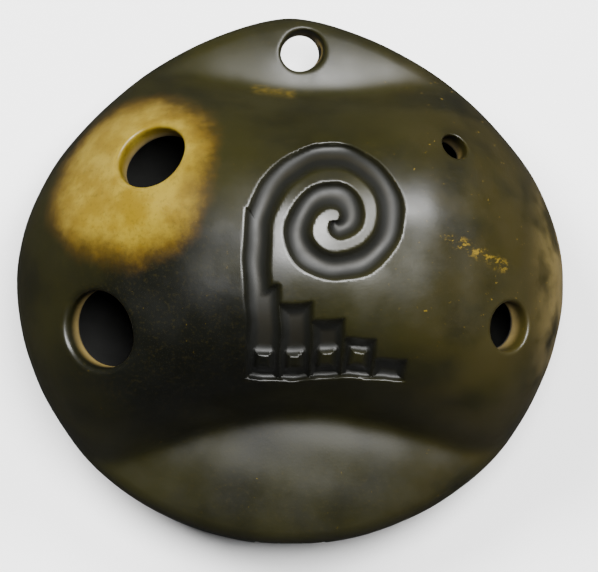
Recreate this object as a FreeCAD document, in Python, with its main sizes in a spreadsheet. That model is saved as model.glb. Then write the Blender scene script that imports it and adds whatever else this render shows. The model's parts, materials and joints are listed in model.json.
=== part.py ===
"""A pinched clay vessel flute (a four-hole pendant ocarina), lying on its back.

Millimetres.  Seen from the front, +X is to the right, +Y runs from the mouthpiece to the
hanging lug, and +Z comes out of the front.  The origin is under the middle of the piece, on
the small flat of the back that it rests on.
"""
import FreeCAD, Part
import math
import os

SIZES = {
    # whole piece
    "half_width": 40.0,
    "half_length": 38.25,
    "seam_height": 13.5,        # joint between the two bowls, above the rest flat
    "slip": 0.4,                # layer of clay slip between two pieces
    "wall": 3.8,
    "reach": 120.0,             # longer than the piece, for tools that cut right through
    # the two bowls, halves of one pebble
    "dome_height": 28.0,        # front bowl, above the seam
    "back_depth": 14.0,         # back bowl, below the seam, before its flat is rubbed down
    # the creases where the bowls meet the lug and the mouthpiece are arcs seen from the front
    "crease_radius": 42.4,
    "lug_x": 4.0,
    "lug_y": 26.9,
    "mouth_x": 2.1,
    "mouth_y": -19.05,
    "press_foot": 5.2,          # the flats that the thumbs leave, from the seam
    "press_tall": 25.0,
    "front_spread": 14.0,       # how much wider a press grows over its height
    "back_spread": 40.0,
    # hole for the neck cord
    "cord_x": 1.4,
    "cord_y": 32.9,
    "cord_radius": 2.75,
    # air passages
    "windway_width": 10.0,
    "windway_height": 2.6,
    "window_y": -25.0,          # where the windway lets the air out
    "window_width": 9.0,
    "window_length": 6.2,
    "throat_height": 3.0,
    "throat_length": 8.0,
    "labium_angle": 50.0,
    "labium_edge": 0.2,
    # finger holes: place of the mouth seen from the front, and radius
    "upper_left_x": -19.7,
    "upper_left_y": 17.8,
    "upper_left_radius": 5.0,
    "lower_left_x": -27.3,
    "lower_left_y": -6.9,
    "lower_left_radius": 5.5,
    "upper_right_x": 23.3,
    "upper_right_y": 19.0,
    "upper_right_radius": 1.95,
    "lower_right_x": 31.2,
    "lower_right_y": -6.4,
    "lower_right_radius": 3.5,
    "bore_length": 20.0,
    # stamped ornament: a spiral band that grows out of a stair
    "stamp_depth": 1.0,
    "band": 3.2,
    "spiral_x": 6.2,
    "spiral_y": 8.2,
    "spiral_radius": 10.5,
    "spiral_step": 2.8,
    "stair_x": -5.9,
    "stair_y": -13.5,
    "tread": 4.4,
    "riser": 2.6,
    "stud": 2.0,
}
FINGER_HOLES = {                # lean of the bore from +Z, and the side it leans to, in degrees
    "upper_left": (37, 135),
    "lower_left": (38, 190),
    "upper_right": (45, 45),
    "lower_right": (47, 352),
}
ENDS = {"lug": "+", "mouth": "-"}          # the side of its crease that each end lies on
SPIRAL_HALF_TURNS = 4
STAIR_STEPS = 5

doc = FreeCAD.newDocument("ocarina")
sheet = doc.addObject("Spreadsheet::Sheet", "sizes")
for row, (name, value) in enumerate(SIZES.items(), start=1):
    sheet.set(f"A{row}", name)
    sheet.set(f"B{row}", str(value))
    sheet.setAlias(f"B{row}", name)
doc.recompute()


# ------------------------------------------------------------------ helpers
def sized(expression):
    """Turn plain names of sizes into references to the sheet's cells."""
    words = []
    for word in expression.split():
        words.append("sizes." + word if word in SIZES else word)
    return " ".join(words)


def primitive(kind, name, place, **dimensions):
    """A Part primitive whose dimensions and place are bound to the sheet."""
    solid = doc.addObject("Part::" + kind, name)
    for dimension, expression in dimensions.items():
        solid.setExpression(dimension, sized(expression))
    for axis, expression in zip("xyz", place):
        solid.setExpression("Placement.Base." + axis, sized(expression))
    return solid


def ellipsoid(name, width, length, height):
    """An ellipsoid on the seam plane; the three sizes are half-axes along X, Y and Z."""
    place = ("0", "0", "seam_height")
    return primitive("Ellipsoid", name, place, Radius1=height, Radius2=width, Radius3=length)


def block(name, low, size):
    return primitive("Box", name, low, Length=size[0], Width=size[1], Height=size[2])


def fuse(name, *shapes):
    result = doc.addObject("Part::MultiFuse", name)
    result.Shapes = list(shapes)
    return result


def common(name, *shapes):
    result = doc.addObject("Part::MultiCommon", name)
    result.Shapes = list(shapes)
    return result


def cut(name, base, *tools):
    """The base less every tool; several tools are fused first."""
    result = doc.addObject("Part::Cut", name)
    result.Base = base
    result.Tool = tools[0] if len(tools) == 1 else fuse(name + "_tools", *tools)
    return result


def layer(name, low, high):
    """Everything between two heights."""
    corner = ("- reach / 2", "- reach / 2", low)
    return block(name, corner, ("reach", "reach", f"( {high} ) - ( {low} )"))


# ------------------------------------------------------------------ the clay form
def press(name, end, spread, inset, facing):
    """The thumb press that sinks one end to its flat; facing is +1 on the front, -1 behind."""
    sign = ENDS[end]
    foot = f"seam_height {'+' if facing > 0 else '-'} ( press_foot - {inset} )"
    cone = primitive("Cone", name, (end + "_x", f"{end}_y {sign} crease_radius", foot),
                     Radius1=f"crease_radius + {inset} / 2",
                     Radius2=f"crease_radius + {inset} / 2 + {spread}", Height="press_tall")
    cone.Placement.Rotation = FreeCAD.Rotation(FreeCAD.Vector(1, 0, 0), 0 if facing > 0 else 180)
    return cone


def bowl(name, height, spread, inset, facing):
    """Half a pebble, drawn in by inset all round and pressed down at both ends."""
    pebble = ellipsoid(name + "_pebble", f"half_width - {inset}", f"half_length - {inset}",
                       f"{height} - {inset}")
    presses = [press(f"{name}_{end}_press", end, spread, inset, facing) for end in ENDS]
    return cut(name, pebble, *presses)


def end_zone(name, end, radius):
    """A round column whose side follows the crease of one end."""
    place = (end + "_x", f"{end}_y {ENDS[end]} crease_radius", "- reach / 2")
    return primitive("Cylinder", name, place, Radius=radius, Height="reach * 2")


above_seam = layer("above_seam", "seam_height", "reach")
below_seam = layer("below_seam", "0", "seam_height")

front_half = common("front_half", above_seam,
                    bowl("front_bowl", "dome_height", "front_spread", "0", 1))
back_half = common("back_half", below_seam,
                   bowl("back_bowl", "back_depth", "back_spread", "0", -1))
clay = fuse("clay", front_half, back_half)

front_hollow = common("front_hollow", above_seam,
                      bowl("front_core", "dome_height", "front_spread", "wall", 1))
back_hollow = common("back_hollow", below_seam,
                     bowl("back_core", "back_depth", "back_spread", "wall", -1))
end_walls = [end_zone(end + "_wall", end, "crease_radius + wall") for end in ENDS]
chamber = cut("chamber", fuse("hollow", front_hollow, back_hollow), *end_walls)

# ------------------------------------------------------------------ where the pieces part
over_slip = layer("over_slip", "seam_height + slip / 2", "reach")
slip_sheet = layer("slip_sheet", "seam_height - slip / 2", "seam_height + slip / 2")
under_slip = layer("under_slip", "0", "seam_height - slip / 2")

lug_zone = end_zone("lug_zone", "lug", "crease_radius - slip")
lug_joint = end_zone("lug_joint", "lug", "crease_radius")
mouth_zone = end_zone("mouth_zone", "mouth", "crease_radius - slip")
mouth_joint = end_zone("mouth_joint", "mouth", "crease_radius")

# ------------------------------------------------------------------ holes and air passages
cord_hole = primitive("Cylinder", "cord_hole", ("cord_x", "cord_y", "- reach / 2"),
                      Radius="cord_radius", Height="reach * 2")
windway = block("windway",
                ("- windway_width / 2", "- reach / 2", "seam_height - windway_height / 2"),
                ("windway_width", "reach / 2 + window_y", "windway_height"))
window = block("window",
               ("- window_width / 2", "window_y", "- reach / 2"),
               ("window_width", "window_length", "reach / 2 + seam_height + windway_height / 2"))
throat = block("throat",
               ("- window_width / 2", "window_y + window_length", "seam_height - slip / 2"),
               ("window_width", "throat_length", "throat_height"))
passages = fuse("passages", windway, window, throat)


def labium_ramp():
    """What is pared off the back bowl to leave a sharp edge across the window."""
    ramp = block("labium_ramp", (), ("window_width", "reach", "reach"))
    edge = FreeCAD.Vector(-SIZES["window_width"] / 2,
                          SIZES["window_y"] + SIZES["window_length"],
                          SIZES["seam_height"] - SIZES["slip"] / 2 - SIZES["labium_edge"])
    lean = FreeCAD.Rotation(FreeCAD.Vector(1, 0, 0), -SIZES["labium_angle"])
    below = FreeCAD.Placement(FreeCAD.Vector(0, 0, -SIZES["reach"]), FreeCAD.Rotation())
    ramp.Placement = FreeCAD.Placement(edge, lean) * below
    return ramp


def finger_bore(name, lean, turn):
    """A bore pushed through the front wall at a slant."""
    x, y = SIZES[name + "_x"], SIZES[name + "_y"]
    across, along = x / SIZES["half_width"], y / SIZES["half_length"]
    z = SIZES["seam_height"] + SIZES["dome_height"] * math.sqrt(1 - across**2 - along**2)
    lean, turn = math.radians(lean), math.radians(turn)
    outward = FreeCAD.Vector(math.sin(lean) * math.cos(turn), math.sin(lean) * math.sin(turn),
                             math.cos(lean))
    bore = doc.addObject("Part::Cylinder", name + "_bore")
    bore.setExpression("Radius", sized(name + "_radius"))
    bore.setExpression("Height", sized("bore_length"))
    inside = FreeCAD.Vector(x, y, z) - outward * (SIZES["bore_length"] / 2)
    bore.Placement = FreeCAD.Placement(inside, FreeCAD.Rotation(FreeCAD.Vector(0, 0, 1), outward))
    return bore


# ------------------------------------------------------------------ stamped ornament
def half_ring(number):
    """One half turn of the spiral band: each is a step tighter and on the other side."""
    side = 1 if number % 2 == 0 else -1
    radius = f"spiral_radius - {number} * spiral_step"
    centre_x = "spiral_x" if side > 0 else "spiral_x + spiral_step"
    half_turn = []
    for part, reach in (("outside", "+"), ("inside", "-")):
        disc = primitive("Cylinder", f"ring_{number}_{part}", (centre_x, "spiral_y", "seam_height"),
                         Radius=f"{radius} {reach} band / 2", Height="reach / 2")
        disc.Angle = 180
        disc.Placement.Rotation = FreeCAD.Rotation(0 if side > 0 else 180, 0, 0)
        half_turn.append(disc)
    return cut(f"ring_{number}", *half_turn)


def stair_column(number):
    """Columns of the stair, each a riser lower than the one on its left."""
    corner = (f"stair_x + {number} * tread", "stair_y", "seam_height")
    steps = STAIR_STEPS - number
    return block(f"stair_{number}", corner, ("tread", f"{steps} * riser", "reach / 2"))


def stud(number):
    """A square left standing in a column of the stair."""
    corner = (f"stair_x + ( {number} + 0.5 ) * tread - stud / 2",
              "stair_y + riser - stud / 2", "seam_height")
    return block(f"stud_{number}", corner, ("stud", "stud", "reach / 2"))


post = block("post", ("spiral_x - spiral_radius - band / 2", "stair_y", "seam_height"),
             ("band", "spiral_y - stair_y", "reach / 2"))
band_pieces = [half_ring(number) for number in range(SPIRAL_HALF_TURNS)]
stair_pieces = [stair_column(number) for number in range(STAIR_STEPS)]
studs = [stud(number) for number in range(STAIR_STEPS - 1)]
stamp = cut("stamp", fuse("stamp_face", post, *band_pieces, *stair_pieces), *studs)
floor_of_stamp = bowl("floor_of_stamp", "dome_height", "front_spread", "stamp_depth", 1)
relief = cut("relief", stamp, floor_of_stamp)

# ------------------------------------------------------------------ the pieces
finger_bores = [finger_bore(name, *aim) for name, aim in FINGER_HOLES.items()]
PIECES = [
    cut("front_shell", common("front_clay", clay, over_slip),
        chamber, lug_joint, mouth_joint, passages, relief, *finger_bores),
    cut("back_shell", common("back_clay", clay, under_slip),
        chamber, lug_joint, mouth_joint, window, labium_ramp()),
    cut("seam_slip", common("seam_clay", clay, slip_sheet),
        chamber, lug_joint, mouth_joint, passages),
    cut("hanging_lug", common("lug_clay", clay, lug_zone), cord_hole),
    cut("lug_slip", common("lug_joint_clay", clay, lug_joint), lug_zone),
    cut("mouthpiece_roof", common("roof_clay", clay, over_slip, mouth_zone), passages),
    cut("mouthpiece_floor", common("floor_clay", clay, under_slip, mouth_zone), passages),
    cut("windway_slip", common("windway_clay", clay, slip_sheet, mouth_zone), passages),
    cut("mouthpiece_slip", common("mouth_joint_clay", clay, mouth_joint), mouth_zone, passages),
]
doc.recompute()

# ------------------------------------------------------------------ checks, then the files
for thing in doc.Objects:
    if "Invalid" in thing.State or "Error" in thing.State:
        raise RuntimeError(f"{thing.Name} failed: {thing.State}")
for piece in PIECES:
    piece.Label = piece.Name
    if piece.Shape.isNull() or not piece.Shape.isValid() or piece.Shape.Volume <= 0:
        raise RuntimeError(f"{piece.Label} has no sound shape")
    print(piece.Label, len(piece.Shape.Solids), "solids,", round(piece.Shape.Volume), "mm3")

os.makedirs("parts", exist_ok=True)
for piece in PIECES:
    piece.Shape.exportStep(f"parts/{piece.Label}.step")
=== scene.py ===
"""A smoke-fired, burnished clay ocarina lying on its back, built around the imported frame.

The clay is described by distance functions in millimetres (negative inside the clay), meshed
once, and then parted at the same joints as the frame's nodes.
"""
import json
import math

import bpy
import numpy as np
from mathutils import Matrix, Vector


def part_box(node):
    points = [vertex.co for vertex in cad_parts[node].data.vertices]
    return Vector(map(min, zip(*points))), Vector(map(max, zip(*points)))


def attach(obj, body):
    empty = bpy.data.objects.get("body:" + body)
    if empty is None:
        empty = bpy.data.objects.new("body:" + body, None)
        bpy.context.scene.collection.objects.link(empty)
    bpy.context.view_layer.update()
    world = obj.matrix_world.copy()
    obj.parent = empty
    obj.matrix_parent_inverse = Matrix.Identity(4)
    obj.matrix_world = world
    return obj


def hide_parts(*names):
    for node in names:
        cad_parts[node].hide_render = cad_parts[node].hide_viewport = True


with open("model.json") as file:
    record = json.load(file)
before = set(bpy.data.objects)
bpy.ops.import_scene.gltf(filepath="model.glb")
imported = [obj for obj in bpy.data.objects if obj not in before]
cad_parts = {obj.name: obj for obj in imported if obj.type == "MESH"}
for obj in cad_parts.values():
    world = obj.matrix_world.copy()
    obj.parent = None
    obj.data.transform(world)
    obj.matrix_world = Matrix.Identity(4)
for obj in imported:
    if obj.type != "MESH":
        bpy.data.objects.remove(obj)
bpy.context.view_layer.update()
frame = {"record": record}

import openvdb
from mathutils import Vector

MM = 0.001


# ------------------------------------------------------------------ sizes from the frame
def corners(node):
    """Lowest and highest corner of a CAD node, in millimetres."""
    low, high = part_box(node)
    return np.array(low) / MM, np.array(high) / MM


FRONT_LOW, FRONT_HIGH = corners("front_shell")
_, BACK_HIGH = corners("back_shell")
LUG_LOW, LUG_HIGH = corners("hanging_lug")
_, FLOOR_HIGH = corners("mouthpiece_floor")
CORD = frame["record"]["mounts"][0]

HALF_WIDTH = FRONT_HIGH[0]
HALF_LENGTH = LUG_HIGH[1]
SEAM = (FRONT_LOW[2] + BACK_HIGH[2]) / 2
SLIP = FRONT_LOW[2] - BACK_HIGH[2]
DOME = FRONT_HIGH[2] - SEAM
BACK = SEAM + 0.5                   # the back's depth before its rest flat is rubbed down
WALL = 3.8
JOINT_RADIUS = 42.4                 # the joints of lug and mouthpiece are arcs in plan
LUG_X, LUG_Y = 4.0, LUG_LOW[1] - SLIP
MOUTH_X, MOUTH_Y = 2.1, FLOOR_HIGH[1] + SLIP

# ------------------------------------------------------------------ shape of the clay
FLANGE_FRONT, FLANGE_BACK = 8.8, 7.0
FLANK_PINCH, FLANK_SOFT = 0.17, 0.08
FULLNESS = 2.7                      # how flat a bowl's section is on top
STEEP, SLACK = 1.3, 1.5             # how gently a bowl ends: in the middle, and at the sides
CREASE_SOFT = 0.12                  # how widely a crease is smoothed over
MERGE = 1.4                         # how softly bowl and flange run together: 1 is softest
SLUMP_START, SLUMP_WIDTH = 8.0, 18.0
EDGE_BLEND = 7                      # exponent that runs a crease line into the outline
RIM_FALL = 2                        # how fast the surface falls away outside the outline
RIM_ROUND, RIM_OUT = 2.2, 0.9       # rounding of the rim, and how far outside it the lens closes
# shallow grooves along the two creases: side, share of the height pressed down, and width
THUMB_GROOVES, THUMB_WIDTH = ((1, 0.12), (-1, 0.05)), 4.5
WINDWAY_HALF, WINDWAY_RISE = 5.0, 1.0
WINDOW_HALF, WINDOW_START, WINDOW_LENGTH = 4.5, -25.0, 6.2
THROAT_LENGTH, THROAT_HEIGHT = 8.0, 3.0
LABIUM_ANGLE, LABIUM_DROP = math.radians(50), 0.4
# finger holes: place of the mouth, radius, lean from +Z and the side leaned to, in degrees
FINGER_HOLES = (
    (-19.7, 17.8, 5.0, 30, 135),
    (-27.3, -6.9, 5.5, 38, 190),
    (23.3, 19.0, 1.95, 20, 30),
    (31.2, -6.4, 3.5, 47, 352),
)
HOLE_LIP = 0.2                      # rounding of a finger hole's lip, in radii of the hole
STAMP_CORNER, STAMP_LIP = 0.5, 0.55     # rounding of the other cut edges
CHAMBER_LIP, CORD_LIP, KNIFE_LIP, REST_LIP = 0.8, 0.7, 0.3, 0.8
WORN, WORN_RISE, WORN_FLARE = 0.6, 2.6, 0.2     # the cord hole's wear: how far, how high, how wide
STAMP_EDGE, STAMP_DISH = 0.6, 0.9   # depth at a band's edge, and how much deeper its middle is
STAMP_LOWEST = SEAM + 5             # the stamp marks only what is higher than this
BAND = 3.2
SPIRAL_X, SPIRAL_Y, SPIRAL_RADIUS, SPIRAL_STEP = 6.2, 8.2, 10.5, 2.8
SPIRAL_END = 3.35 * math.pi
STAIR_X, STAIR_Y, TREAD, RISER, STEPS, STUD = -5.9, -13.5, 4.4, 2.6, 5, 2.0

SPACING = 0.33   # of the mesh's grid
PROBE = 0.02                        # half the span of a numeric slope
MARGIN = 2                          # room round the clay in the grid
BELOW, ABOVE = -20, 80              # heights well past the clay
BORE_REACH = 10                     # how far a finger hole is bored in


def smooth_max(a, b, radius):
    """The larger of two fields, with the corner between them rounded off."""
    near = np.maximum(radius - np.abs(a - b), 0) / radius
    return np.maximum(a, b) + near * near * radius / 4


def carve(clay, hollow, radius):
    """Clay with a hollow taken out of it, and the hollow's lip rounded."""
    return smooth_max(clay, -hollow, radius)


def box_distance(x, y, z, low, high):
    """Distance to an upright box between two corners."""
    gaps = [np.maximum(a - value, value - b) for value, a, b in zip((x, y, z), low, high)]
    outside = sum(np.maximum(gap, 0)**2 for gap in gaps)**0.5
    return outside + np.minimum(np.maximum(np.maximum(gaps[0], gaps[1]), gaps[2]), 0)


def flank(across):
    """How much of its length the upper half of the outline keeps, off the middle."""
    return 1 - FLANK_PINCH * across**2 / (np.abs(across) + FLANK_SOFT)


def crease(x, side):
    """The line where a bowl meets the lug (side +1) or the mouthpiece (side -1)."""
    middle, start = (LUG_X, LUG_Y) if side > 0 else (MOUTH_X, MOUTH_Y)
    return start + side * (x - middle)**2 / (2 * JOINT_RADIUS)


def bowl_edge(x, side):
    """The crease, run softly into the outline where the outline is the nearer of the two."""
    across = x / HALF_WIDTH
    rim = HALF_LENGTH * np.sqrt(np.maximum(1 - across**2, 1e-6))
    if side > 0:
        rim = rim * flank(across)
    line = side * crease(x, side)
    return side * (line**-EDGE_BLEND + rim**-EDGE_BLEND)**(-1 / EDGE_BLEND)


def bowl_square(x, y, height):
    """Square of a bowl's height over the seam, carried on below zero outside its plan."""
    low, high = bowl_edge(x, -1), bowl_edge(x, 1)
    across = 1 - (x / HALF_WIDTH)**2
    along = 1 - np.abs((2 * y - low - high) / (high - low))**FULLNESS
    off_middle = np.clip((np.abs(x - MOUTH_X) - SLUMP_START) / SLUMP_WIDTH, 0, 1)
    slump = STEEP + (SLACK - STEEP) * off_middle**2 * (3 - 2 * off_middle)
    along = (along + np.sqrt(along**2 + CREASE_SOFT**2)) / 2
    share = np.where(across > 0, across * along**slump, across)
    return height**2 * np.maximum(share, -4)


def outline_reach(x, y):
    """Half the length of the ellipse that the outline follows here."""
    return HALF_LENGTH * np.where(y > 0, flank(x / HALF_WIDTH), 1)


def outline_distance(x, y):
    """Plan distance to the outline."""
    return (np.hypot(x / HALF_WIDTH, y / outline_reach(x, y)) - 1) * HALF_LENGTH


def flange_square(x, y, height, grooves):
    """Square of the height of the lens that lug and mouthpiece are pinched from."""
    reach = outline_reach(x, y) + RIM_OUT
    room = 1 - (x / (HALF_WIDTH + RIM_OUT))**2 - (y / reach)**2
    pressed = sum(depth * np.exp(-((y - crease(x, side)) / THUMB_WIDTH)**2)
                  for side, depth in grooves)
    return (height * (1 - pressed))**2 * room


def outer_square(x, y, front):
    """Square of the finished surface's height: the bowl and the flange, run together."""
    if front:
        bowl, flange = bowl_square(x, y, DOME), flange_square(x, y, FLANGE_FRONT, THUMB_GROOVES)
    else:
        bowl, flange = bowl_square(x, y, BACK), flange_square(x, y, FLANGE_BACK, ())
    joined = (np.maximum(flange, 0)**MERGE + np.maximum(bowl, 0)**MERGE)**(1 / MERGE)
    return joined + RIM_FALL * np.minimum(flange, 0)


def from_square(square, x, y, rise):
    """Distance to a surface whose height over the seam has a known square."""
    here = square(x, y)
    slope_x = (square(x + PROBE, y) - square(x - PROBE, y)) / (2 * PROBE)
    slope_y = (square(x, y + PROBE) - square(x, y - PROBE)) / (2 * PROBE)
    steepness = np.sqrt(slope_x**2 + slope_y**2 + 4 * rise**2)
    return (rise**2 - here) / np.maximum(steepness, 1.0)


def hand_marks(x, y, z):
    """The faint unevenness of a surface pinched and burnished by hand."""
    broad = np.sin(0.21 * x + 1.3) * np.sin(0.17 * y + 0.23 * z + 0.4)
    facets = np.sin(0.47 * x + 0.31 * y + 2.1) * np.sin(0.41 * y - 0.27 * x + 0.35 * z)
    return 0.10 * broad + 0.07 * facets


def outside_distance(x, y, z):
    """Distance to the burnished outer surface, before any hole is made, resting on z = 0."""
    rise = z - SEAM
    front = from_square(lambda a, b: outer_square(a, b, True), x, y, rise)
    back = from_square(lambda a, b: outer_square(a, b, False), x, y, rise)
    clay = np.where(rise >= 0, front, back) + hand_marks(x, y, z)
    clay = smooth_max(clay, outline_distance(x, y), RIM_ROUND)
    return smooth_max(clay, -z, REST_LIP)


def chamber_distance(x, y, z):
    """Distance to the chamber, which lies a wall's thickness inside the bowls."""
    rise = z - SEAM
    front = from_square(lambda a, b: bowl_square(a, b, DOME), x, y, rise)
    back = from_square(lambda a, b: bowl_square(a, b, BACK), x, y, rise)
    return np.where(rise >= 0, front, back) + WALL


def dome_height(x, y):
    """Height of the front's surface over one place in plan."""
    return SEAM + math.sqrt(float(outer_square(np.float64(x), np.float64(y), True)))


def bore_distance(x, y, z, mouth_x, mouth_y, radius, lean, turn):
    """Distance to a straight bore that leans outward through the front's wall."""
    lean, turn = math.radians(lean), math.radians(turn)
    axis = (math.sin(lean) * math.cos(turn), math.sin(lean) * math.sin(turn), math.cos(lean))
    offset = (x - mouth_x, y - mouth_y, z - dome_height(mouth_x, mouth_y))
    out = sum(part * direction for part, direction in zip(offset, axis))
    aside = np.sqrt(np.maximum(sum(part**2 for part in offset) - out**2, 1e-9))
    return np.maximum(aside - radius, -BORE_REACH - out)


def cord_distance(x, y, z):
    """The cord hole, worn wider towards the upper right on the front."""
    mount_x, mount_y = CORD["pos_m"][0] / MM, CORD["pos_m"][1] / MM
    radius = CORD["dims"]["r_mm"]
    bore = np.hypot(x - mount_x, y - mount_y) - radius
    worn = np.hypot(x - mount_x - WORN, y - mount_y - WORN) - radius
    worn = worn + (SEAM + WORN_RISE - z) * WORN_FLARE
    return np.minimum(bore, worn) + 0 * z


def passages_distance(x, y, z):
    """Windway, window and the throat into the chamber."""
    top = SEAM + WINDWAY_RISE
    window_end = WINDOW_START + WINDOW_LENGTH
    windway = box_distance(x, y, z, (-WINDWAY_HALF, -2 * HALF_LENGTH, SEAM - WINDWAY_RISE),
                           (WINDWAY_HALF, WINDOW_START + 1, top))
    window = box_distance(x, y, z, (-WINDOW_HALF, WINDOW_START, BELOW),
                          (WINDOW_HALF, window_end, top))
    throat = box_distance(x, y, z, (-WINDOW_HALF, window_end - 1, SEAM - SLIP / 2),
                          (WINDOW_HALF, window_end + THROAT_LENGTH, SEAM + THROAT_HEIGHT))
    return np.minimum(np.minimum(windway, window), throat)


def ramp_distance(x, y, z):
    """What is pared off the back bowl to leave a sharp edge across the window."""
    edge_y, edge_z = WINDOW_START + WINDOW_LENGTH, SEAM - LABIUM_DROP
    above = (y - edge_y) * math.sin(LABIUM_ANGLE) + (z - edge_z) * math.cos(LABIUM_ANGLE)
    sides = np.maximum(np.abs(x) - WINDOW_HALF, edge_y - 0.5 - y)
    return np.maximum(above, sides)


def stamp_outline(x, y):
    """Plan distance to the stamped ornament: a spiral band growing out of a stair."""
    half = BAND / 2

    def block(low_x, high_x, low_y, high_y):
        """Plan distance to an upright rectangle."""
        across = np.maximum(low_x - x, x - high_x)
        along = np.maximum(low_y - y, y - high_y)
        corner = np.hypot(np.maximum(across, 0), np.maximum(along, 0))
        return corner + np.minimum(np.maximum(across, along), 0)

    post_x = SPIRAL_X - SPIRAL_RADIUS
    shape = block(post_x - half, post_x + half, STAIR_Y, SPIRAL_Y + half)
    out = np.hypot(x - SPIRAL_X, y - SPIRAL_Y)
    turned = (math.pi - np.arctan2(y - SPIRAL_Y, x - SPIRAL_X)) % (2 * math.pi)
    for lap in range(2):
        wound = turned + 2 * math.pi * lap
        beyond = np.maximum(wound - SPIRAL_END, 0) * out
        off_line = out - (SPIRAL_RADIUS - SPIRAL_STEP * wound / math.pi)
        shape = np.minimum(shape, np.hypot(off_line, beyond) - half)
    for number in range(STEPS):
        low_x = STAIR_X + number * TREAD
        top = STAIR_Y + (STEPS - number) * RISER
        shape = np.minimum(shape, block(low_x, low_x + TREAD, STAIR_Y, top))
    for number in range(STEPS - 1):
        low_x = STAIR_X + (number + 0.5) * TREAD - STUD / 2
        low_y = STAIR_Y + RISER - STUD / 2
        shape = np.maximum(shape, -block(low_x, low_x + STUD, low_y, low_y + STUD))
    return shape


def wobble(x, y):
    """The unsteadiness of lines cut by hand in the stamp's face."""
    return (x + 0.25 * np.sin(0.33 * y + 0.6) + 0.06 * np.sin(1.1 * y + 0.3 * x),
            y + 0.25 * np.sin(0.37 * x + 1.9) + 0.06 * np.sin(1.3 * x + 0.5))


def clay_distance(x, y, z):
    """The whole ocarina."""
    surface = outside_distance(x, y, z)
    outline = stamp_outline(*wobble(x, y)) + 0 * z
    inward = np.clip(-2 * outline / BAND, 0, 1)
    dished = STAMP_EDGE + STAMP_DISH * inward * (2 - inward)
    pressed = smooth_max(outline - 0.1, -(surface + dished), STAMP_CORNER)
    pressed = np.maximum(pressed, STAMP_LOWEST - z)
    clay = carve(surface, pressed, STAMP_LIP)
    clay = carve(clay, chamber_distance(x, y, z), CHAMBER_LIP)
    for hole in FINGER_HOLES:
        clay = carve(clay, bore_distance(x, y, z, *hole), HOLE_LIP * hole[2])
    clay = carve(clay, cord_distance(x, y, z), CORD_LIP)
    clay = carve(clay, passages_distance(x, y, z), KNIFE_LIP)
    return carve(clay, ramp_distance(x, y, z), KNIFE_LIP)


# ------------------------------------------------------------------ meshing
def slopes(points):
    """Unit gradient of the clay's distance at each point, and the distance."""
    x, y, z = points.T
    span = np.zeros_like(points)
    for axis in range(3):
        step = np.zeros(3)
        step[axis] = PROBE
        ahead, behind = points + step, points - step
        span[:, axis] = clay_distance(*ahead.T) - clay_distance(*behind.T)
    length = np.maximum(np.linalg.norm(span, axis=1, keepdims=True), 1e-9)
    steepness = np.maximum(length[:, 0] / (2 * PROBE), 0.3)
    return span / length, clay_distance(x, y, z) / steepness


def mesh_object(name, points, faces):
    """An object made from points and faces that all have the same number of sides."""
    mesh = bpy.data.meshes.new(name)
    mesh.vertices.add(len(points))
    mesh.vertices.foreach_set("co", np.asarray(points, np.float32).ravel())
    sides = len(faces[0])
    mesh.loops.add(len(faces) * sides)
    mesh.loops.foreach_set("vertex_index", np.asarray(faces, np.int32).ravel())
    mesh.polygons.add(len(faces))
    mesh.polygons.foreach_set("loop_start", np.arange(0, len(faces) * sides, sides, np.int32))
    mesh.update(calc_edges=True)
    mesh.validate()
    piece = bpy.data.objects.new(name, mesh)
    bpy.context.scene.collection.objects.link(piece)
    return piece


def clay_body():
    """The whole ocarina as one closed mesh, in millimetres."""
    low = np.array([-HALF_WIDTH, -HALF_LENGTH, 0]) - MARGIN
    high = np.array([HALF_WIDTH, HALF_LENGTH, FRONT_HIGH[2]]) + MARGIN
    axes = [np.arange(a, b, SPACING) for a, b in zip(low, high)]
    x, y, z = np.meshgrid(*axes, indexing="ij", sparse=True)
    field = np.empty([len(axis) for axis in axes], np.float32)
    slab = 24
    for start in range(0, len(axes[2]), slab):
        field[:, :, start:start + slab] = clay_distance(x, y, z[:, :, start:start + slab])
    grid = openvdb.FloatGrid(3.0)
    grid.copyFromArray(field)
    points, faces = grid.convertToQuads(0.0)
    points = points.astype(np.float64) * SPACING + low
    for _ in range(3):
        direction, distance = slopes(points)
        points -= direction * np.clip(distance, -SPACING / 2, SPACING / 2)[:, None]
    return mesh_object("clay_body", points, faces)


def column(name, radius, side):
    """A round column whose side follows one of the creases."""
    middle, start = (LUG_X, LUG_Y) if side > 0 else (MOUTH_X, MOUTH_Y)
    turns = np.linspace(0, 2 * math.pi, 480, endpoint=False)
    ring_x = middle + radius * np.cos(turns)
    ring_y = start + side * JOINT_RADIUS + radius * np.sin(turns)
    return prism(name, np.column_stack([ring_x, ring_y]), BELOW, ABOVE)


def layer(name, low, high):
    """Everything between two heights."""
    reach = 70
    square = [(-reach, -reach), (reach, -reach), (reach, reach), (-reach, reach)]
    return prism(name, np.array(square), low, high)


def prism(name, ring, low, high):
    """A closed upright solid on an outline in plan."""
    count = len(ring)
    points = [(px, py, z) for z in (low, high) for px, py in ring]
    mesh = bpy.data.meshes.new(name)
    sides = [(i, (i + 1) % count, (i + 1) % count + count, i + count) for i in range(count)]
    mesh.from_pydata(points, [], [list(range(count))[::-1], list(range(count, 2 * count))] + sides)
    solid = bpy.data.objects.new(name, mesh)
    bpy.context.scene.collection.objects.link(solid)
    return solid


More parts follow.
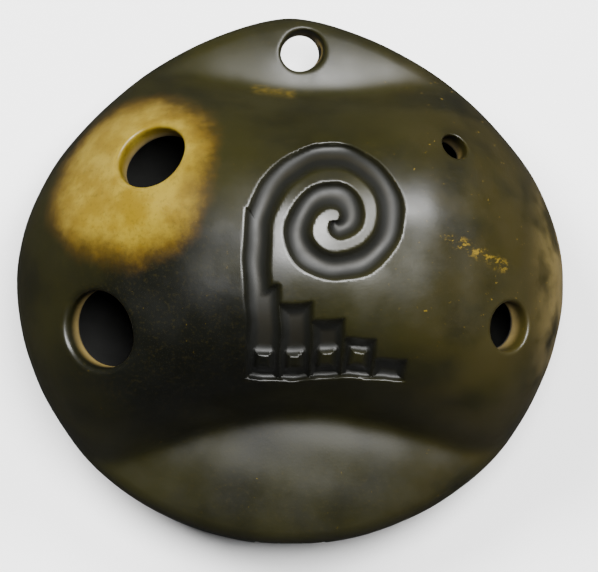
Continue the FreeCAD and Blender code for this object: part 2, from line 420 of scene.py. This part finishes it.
def part(body, name, steps):
    """A copy of the body, kept inside or cut away by each zone in turn."""
    piece = body.copy()
    piece.data = body.data.copy()
    piece.name = piece.data.name = name
    bpy.context.scene.collection.objects.link(piece)
    for operation, zone in steps:
        modifier = piece.modifiers.new(zone.name, "BOOLEAN")
        modifier.operation = operation
        modifier.solver = "MANIFOLD"
        modifier.object = zone
    evaluated = piece.evaluated_get(bpy.context.evaluated_depsgraph_get())
    mesh = bpy.data.meshes.new_from_object(evaluated)
    piece.modifiers.clear()
    piece.data = mesh
    mesh.name = name
    return piece


def finish_mesh(piece):
    """Shade the clay by its own slope, note what each point is, and go over to metres."""
    mesh = piece.data
    points = np.empty(len(mesh.vertices) * 3)
    mesh.vertices.foreach_get("co", points)
    points = points.reshape(-1, 3)
    direction, distance = slopes(points)
    own = np.empty(len(mesh.vertices) * 3)
    mesh.vertex_normals.foreach_get("vector", own)
    own = own.reshape(-1, 3)
    on_clay = (np.abs(distance) < 0.03)[:, None]
    normals = np.where(on_clay, direction, own)
    x, y, z = points.T
    outside = outside_distance(x, y, z)
    notes = {
        "depth": np.clip(-outside, 0, 9),
        "stamp": np.clip(0.5 - stamp_outline(*wobble(x, y)), 0, 1) * (z > STAMP_LOWEST),
    }
    for label, values in notes.items():
        note = mesh.attributes.new(label, "FLOAT", "POINT")
        note.data.foreach_set("value", values.astype(np.float32))
    mesh.vertices.foreach_set("co", (points * MM).ravel().astype(np.float32))
    mesh.shade_smooth()
    mesh.update()
    mesh.normals_split_custom_set_from_vertices([tuple(normal) for normal in normals])


# ------------------------------------------------------------------ materials
class Shader:
    """A material's node tree, with one short call for each kind of node."""

    def __init__(self, name):
        self.material = bpy.data.materials.new(name)
        self.material.use_nodes = True
        self.tree = self.material.node_tree
        self.surface = self.tree.nodes["Principled BSDF"]
        place = self.tree.nodes.new("ShaderNodeTexCoord").outputs["Object"]
        self.place = self.vector("SCALE", place, scale=1 / MM)

    def put(self, value, socket):
        """Links a socket's value, or sets a constant one."""
        if isinstance(value, bpy.types.NodeSocket):
            self.tree.links.new(value, socket)
        else:
            socket.default_value = value

    def vector(self, operation, a, b=None, scale=None):
        """One vector sum, product or length."""
        node = self.tree.nodes.new("ShaderNodeVectorMath")
        node.operation = operation
        self.put(a, node.inputs[0])
        if b is not None:
            self.put(b, node.inputs[1])
        if scale is not None:
            self.put(scale, node.inputs["Scale"])
        return node.outputs["Value" if operation in ("LENGTH", "DOT_PRODUCT") else "Vector"]

    def math(self, operation, a, b=0.5):
        """One sum, product or maximum of two numbers."""
        node = self.tree.nodes.new("ShaderNodeMath")
        node.operation = operation
        self.put(a, node.inputs[0])
        self.put(b, node.inputs[1])
        return node.outputs[0]

    def noise(self, size, detail=3.0, roughness=0.5, stretch=(1, 1, 1)):
        """Cloudy pattern whose blotches are about size millimetres."""
        node = self.tree.nodes.new("ShaderNodeTexNoise")
        place = self.vector("MULTIPLY", self.place, stretch)
        self.put(place, node.inputs["Vector"])
        node.inputs["Scale"].default_value = 1 / size
        node.inputs["Detail"].default_value = detail
        node.inputs["Roughness"].default_value = roughness
        return node.outputs["Fac"]

    def ramp(self, value, start, end, low=0.0, high=1.0):
        """Runs softly from low at start to high at end."""
        node = self.tree.nodes.new("ShaderNodeMapRange")
        node.interpolation_type = "SMOOTHSTEP"
        self.put(value, node.inputs["Value"])
        for label, number in zip(("From Min", "From Max", "To Min", "To Max"),
                                 (start, end, low, high)):
            node.inputs[label].default_value = number
        return node.outputs["Result"]

    def mix(self, factor, a, b):
        """Colour a, run over to colour b by the factor."""
        node = self.tree.nodes.new("ShaderNodeMix")
        node.data_type = "RGBA"
        self.put(factor, node.inputs["Factor"])
        for value, label in ((a, "A"), (b, "B")):
            socket = [s for s in node.inputs if s.name == label and s.type == "RGBA"][0]
            self.put(value if isinstance(value, bpy.types.NodeSocket) else (*value, 1), socket)
        return [s for s in node.outputs if s.type == "RGBA"][0]

    def note(self, name):
        """A number stored on the mesh."""
        node = self.tree.nodes.new("ShaderNodeAttribute")
        node.attribute_name = name
        return node.outputs["Fac"]

    def away(self, centre, unevenness=0.0, size=6.0, squash=(1, 1, 1)):
        """Distance in millimetres from a point, made uneven by a cloudy pattern."""
        offset = self.vector("MULTIPLY", self.vector("SUBTRACT", self.place, centre), squash)
        distance = self.vector("LENGTH", offset)
        waver = self.math("MULTIPLY", self.math("SUBTRACT", self.noise(size), 0.5), unevenness)
        return self.math("ADD", distance, waver)

    def beside(self, ends):
        """Distance in plan from a straight line between two points."""
        start, end = Vector(ends[0]), Vector(ends[1])
        along = end - start
        offset = self.vector("SUBTRACT", self.vector("MULTIPLY", self.place, (1, 1, 0)), start)
        reach = self.vector("DOT_PRODUCT", offset, along / along.length_squared)
        nearest = self.vector("SCALE", tuple(along), scale=self.clamp(reach))
        return self.vector("LENGTH", self.vector("SUBTRACT", offset, nearest))

    def clamp(self, value):
        """Keeps a value between 0 and 1."""
        node = self.tree.nodes.new("ShaderNodeClamp")
        self.put(value, node.inputs["Value"])
        return node.outputs[0]

    def product(self, *factors):
        """All factors multiplied together."""
        result = factors[0]
        for factor in factors[1:]:
            result = self.math("MULTIPLY", result, factor)
        return result


BLACK = (0.0020, 0.0022, 0.0012)
OLIVE = (0.0105, 0.0098, 0.0018)
BROWN = (0.0195, 0.0154, 0.0025)
# pale brown of the right-hand rim: less smoked clay, lightened further as a painted reflection
RIM_BROWN_AND_SHEEN = (0.115, 0.083, 0.020)
TAN = (0.108, 0.070, 0.0035)
TAN_PALE = (0.150, 0.108, 0.010)
SCORCH = (0.040, 0.021, 0.0012)
RAW = (0.18, 0.125, 0.032)

# places on the front, in millimetres
FIRE_CLOUD = (-23.3, 15.4, 33.0)
# middle of the darkest patch, lower left of the front
LOWER_LEFT_DARK_PATCH = (-15.0, -10.0, 36.0)
RUBBED_STREAK = ((22.6, 5.9, 0), (29.8, 2.2, 0))
CREASE_WEAR = ((-4.8, 27.5, 0), (0.2, 26.8, 0))
SMUDGE = (21.5, -5.5, 33.0)


def smoked_skin(shader, x):
    """Cloudy black to olive, browner towards the right-hand rim, and paler at that rim: less
    smoked clay there, with a painted reflection of bright surroundings.
    """
    blotches = shader.ramp(shader.noise(17, 4, 0.6), 0.3, 0.65, 0.3, 1)
    colour = shader.mix(blotches, BLACK, OLIVE)
    # browner towards the right-hand rim
    browner = shader.product(shader.ramp(x, 6, 36), shader.ramp(shader.noise(9, 5), 0.3, 0.62))
    colour = shader.mix(browner, colour, BROWN)
    # paler at the right-hand rim: less smoked clay, and a painted reflection of bright
    # surroundings on that side
    pale_rim_and_sheen = shader.product(shader.ramp(x, 33, 40), shader.ramp(shader.noise(6, 4), 0.35, 0.6))
    colour = shader.mix(pale_rim_and_sheen, colour, RIM_BROWN_AND_SHEEN)
    # the darkest patches: a broad one on the lower left, and a small smudge on the right
    darkest = shader.ramp(shader.away(LOWER_LEFT_DARK_PATCH, 12, 9), 24, 10)
    smudge = shader.ramp(shader.away(SMUDGE, 3, 3), 4.5, 1.5, 0, 0.8)
    dark = shader.math("MAXIMUM", darkest, smudge)
    colour = shader.mix(dark, colour, BLACK)
    return colour


def fire_cloud(shader, colour):
    """A scorched halo, then the pale clay that the smoke never reached."""
    cloud = shader.away(FIRE_CLOUD, 6, 9, (1, 1, 0.75))
    fringe = shader.math("MULTIPLY", shader.noise(1.2, 3, 0.7), 2.4)
    cloud = shader.math("ADD", cloud, fringe)
    colour = shader.mix(shader.ramp(cloud, 16.5, 12.0), colour, SCORCH)
    pale = shader.mix(shader.ramp(shader.noise(4, 4, 0.6), 0.35, 0.65), TAN, TAN_PALE)
    colour = shader.mix(shader.ramp(cloud, 15.0, 9.5), colour, pale)
    return colour


def wear(shader, colour, x, y):
    """Fine speckle everywhere, and tan marks where the black skin is rubbed through."""
    speckle = shader.ramp(shader.noise(0.55, 3, 0.7), 0.5, 0.75, 0, 0.35)
    colour = shader.mix(speckle, colour, BROWN)
    on_right = shader.product(shader.ramp(x, 8, 22), shader.ramp(y, -14, -4))
    nicks = shader.ramp(shader.noise(1.3, 4, 0.75, (1, 1.8, 1)), 0.66, 0.70)
    colour = shader.mix(shader.product(nicks, on_right), colour, TAN)
    flecks = shader.ramp(shader.noise(0.8, 3, 0.8), 0.70, 0.76, 0, 0.7)
    colour = shader.mix(flecks, colour, TAN)
    rubbed = shader.ramp(shader.beside(RUBBED_STREAK), 1.3, 0.3)
    streaks = shader.ramp(shader.noise(1.2, 4, 0.8, (0.5, 1.3, 1)), 0.5, 0.6)
    colour = shader.mix(shader.product(rubbed, streaks), colour, TAN)
    worn = shader.ramp(shader.beside(CREASE_WEAR), 1.1, 0)
    grain = shader.ramp(shader.noise(0.5, 4, 0.8, (0.5, 1.5, 1)), 0.35, 0.7)
    colour = shader.mix(shader.product(worn, grain, 0.45), colour, TAN)
    return colour


def cut_surfaces(shader, colour, bare):
    """Grime and painted shade in the stamp's recess, raw clay in the walls' thickness, and soot
    inside the chamber that also serves as painted shade deep in the holes.
    """
    # grime and painted shade: the stamp's recess is darkened nearly to black
    colour = shader.mix(shader.math("MULTIPLY", shader.note("stamp"), 0.95), colour, BLACK)
    inner = shader.mix(shader.noise(3, 4), RAW, BROWN)
    colour = shader.mix(bare, colour, inner)
    # soot and painted shade: deeper than about 3 mm the clay turns black, so the chamber reads
    # dark through the holes
    soot_and_shade = shader.ramp(shader.note("depth"), 3.1, 3.7)
    colour = shader.mix(soot_and_shade, colour, BLACK)
    return colour


def burnish(shader, z, bare):
    """Roughness: smoothest on top of the bowl, where the burnishing pebble runs freely."""
    polish = shader.ramp(shader.noise(6, 4, 0.6), 0.3, 0.7, 0.30, 0.40)
    duller = shader.ramp(z, 35, 21, 0, 0.10)
    polish = shader.math("ADD", polish, duller)
    rough = shader.math("ADD", polish, shader.math("MULTIPLY", bare, 0.4))
    return shader.math("ADD", rough, shader.math("MULTIPLY", shader.note("stamp"), 0.22))


def pebble_strokes(shader):
    """The shallow strokes and grit that stay under the polish, as a bump."""
    bump = shader.tree.nodes.new("ShaderNodeBump")
    bump.inputs["Strength"].default_value = 0.3
    bump.inputs["Distance"].default_value = 0.025 * MM
    strokes = shader.math("MULTIPLY", shader.noise(1.6, 3, 0.5, (0.35, 1.6, 1)), 0.6)
    grit = shader.math("MULTIPLY", shader.noise(0.35, 2, 0.6), 0.7)
    shader.put(shader.math("ADD", strokes, grit), bump.inputs["Height"])
    return bump.outputs[0]


def smoked_clay():
    """Burnished clay, blackened by smoke all but the fire cloud."""
    shader = Shader("smoked_clay")
    split = shader.tree.nodes.new("ShaderNodeSeparateXYZ")
    shader.put(shader.place, split.inputs[0])
    x, y, z = (split.outputs[axis] for axis in "XYZ")
    bare = shader.ramp(shader.note("depth"), 1.3, 3.2)
    colour = fire_cloud(shader, smoked_skin(shader, x))
    colour = cut_surfaces(shader, wear(shader, colour, x, y), bare)
    shader.put(colour, shader.surface.inputs["Base Color"])
    shader.put(burnish(shader, z, bare), shader.surface.inputs["Roughness"])
    shader.surface.inputs["IOR"].default_value = 1.5
    shader.put(pebble_strokes(shader), shader.surface.inputs["Normal"])
    return shader.material


def floor_material():
    """A plain pale floor, very slightly uneven in tone."""
    shader = Shader("floor_white")
    tone = shader.ramp(shader.noise(60, 2), 0.3, 0.7)
    shader.put(shader.mix(tone, (0.88, 0.88, 0.88), (0.9, 0.9, 0.9)),
               shader.surface.inputs["Base Color"])
    shader.surface.inputs["Roughness"].default_value = 0.9
    return shader.material


# ------------------------------------------------------------------ the pieces
def build_pieces():
    """Parts the clay at the frame's joints into one piece for each node."""
    body = clay_body()
    zones = {
        "lug_inner": column("lug_inner", JOINT_RADIUS - SLIP, 1),
        "lug_outer": column("lug_outer", JOINT_RADIUS, 1),
        "mouth_inner": column("mouth_inner", JOINT_RADIUS - SLIP, -1),
        "mouth_outer": column("mouth_outer", JOINT_RADIUS, -1),
        "over": layer("over", SEAM + SLIP / 2, ABOVE),
        "sheet": layer("sheet", SEAM - SLIP / 2, SEAM + SLIP / 2),
        "under": layer("under", BELOW, SEAM - SLIP / 2),
    }
    keep, lose = "INTERSECT", "DIFFERENCE"
    bowls = [(lose, "lug_outer"), (lose, "mouth_outer")]
    recipes = {
        "front_shell": [(keep, "over")] + bowls,
        "back_shell": [(keep, "under")] + bowls,
        "seam_slip": [(keep, "sheet")] + bowls,
        "hanging_lug": [(keep, "lug_inner")],
        "lug_slip": [(keep, "lug_outer"), (lose, "lug_inner")],
        "mouthpiece_roof": [(keep, "mouth_inner"), (keep, "over")],
        "mouthpiece_floor": [(keep, "mouth_inner"), (keep, "under")],
        "windway_slip": [(keep, "mouth_inner"), (keep, "sheet")],
        "mouthpiece_slip": [(keep, "mouth_outer"), (lose, "mouth_inner")],
    }
    clay = smoked_clay()
    for node, recipe in recipes.items():
        piece = part(body, "clay_" + node, [(how, zones[zone]) for how, zone in recipe])
        finish_mesh(piece)
        piece.data.materials.clear()
        piece.data.materials.append(clay)
        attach(piece, "root")
        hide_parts(node)
    for scrap in [body, *zones.values()]:
        bpy.data.objects.remove(scrap)


# ------------------------------------------------------------------ floor, light and camera
SURROUND = 0.06                     # strength of the even light from all round
CAMERA_HEIGHT = 0.62                # metres over the floor
FRAMING = 1.081                     # width seen at the seam's height, in widths of the ocarina
CAMERA_X, CAMERA_Y = 1.3, -0.65     # how far the view is off the middle, in millimetres


def lay_floor():
    """The floor, kept out of mirror reflections so that the dark clay keeps its dark sides."""
    reach = 3.0
    corner_signs = ((-1, -1), (1, -1), (1, 1), (-1, 1))
    mesh = bpy.data.meshes.new("floor")
    mesh.from_pydata([(reach * a, reach * b, 0) for a, b in corner_signs], [], [(0, 1, 2, 3)])
    floor = bpy.data.objects.new("floor", mesh)
    floor.data.materials.append(floor_material())
    bpy.context.scene.collection.objects.link(floor)
    floor.visible_glossy = False


def studio():
    """Three round soft lights and an even dim surround."""
    middle = Vector((0, 0, SEAM * MM))

    def softbox(name, place, size, watts, mirrored=True):
        """A round soft light turned to the ocarina, seen in reflections or not."""
        light = bpy.data.lights.new(name, "AREA")
        light.shape = "DISK"
        light.size = size
        light.energy = watts
        lamp = bpy.data.objects.new(name, light)
        lamp.location = middle + Vector(place)
        lamp.rotation_euler = (middle - lamp.location).to_track_quat("-Z", "Y").to_euler()
        lamp.visible_glossy = mirrored
        bpy.context.scene.collection.objects.link(lamp)

    softbox("key", (0.11, 0.17, 0.88), 0.38, 19)
    softbox("glow", (0.44, 0.42, 0.64), 0.32, 9)
    softbox("window", (-0.45, 0.5, 0.7), 0.5, 23, mirrored=False)

    world = bpy.data.worlds.new("studio")
    world.use_nodes = True
    surround = world.node_tree.nodes["Background"]
    surround.inputs["Color"].default_value = (1, 1, 1, 1)
    surround.inputs["Strength"].default_value = SURROUND
    bpy.context.scene.world = world


def camera():
    """Looks straight down on the front, from far enough for a flat view."""
    data = bpy.data.cameras.new("camera")
    view_width = 2 * HALF_WIDTH * MM * FRAMING
    data.sensor_width = 36
    data.lens = data.sensor_width * (CAMERA_HEIGHT - FRONT_LOW[2] * MM) / view_width
    looker = bpy.data.objects.new("camera", data)
    looker.location = (CAMERA_X * MM, CAMERA_Y * MM, CAMERA_HEIGHT)
    bpy.context.scene.collection.objects.link(looker)
    bpy.context.scene.camera = looker


camera()
build_pieces()
lay_floor()
studio()
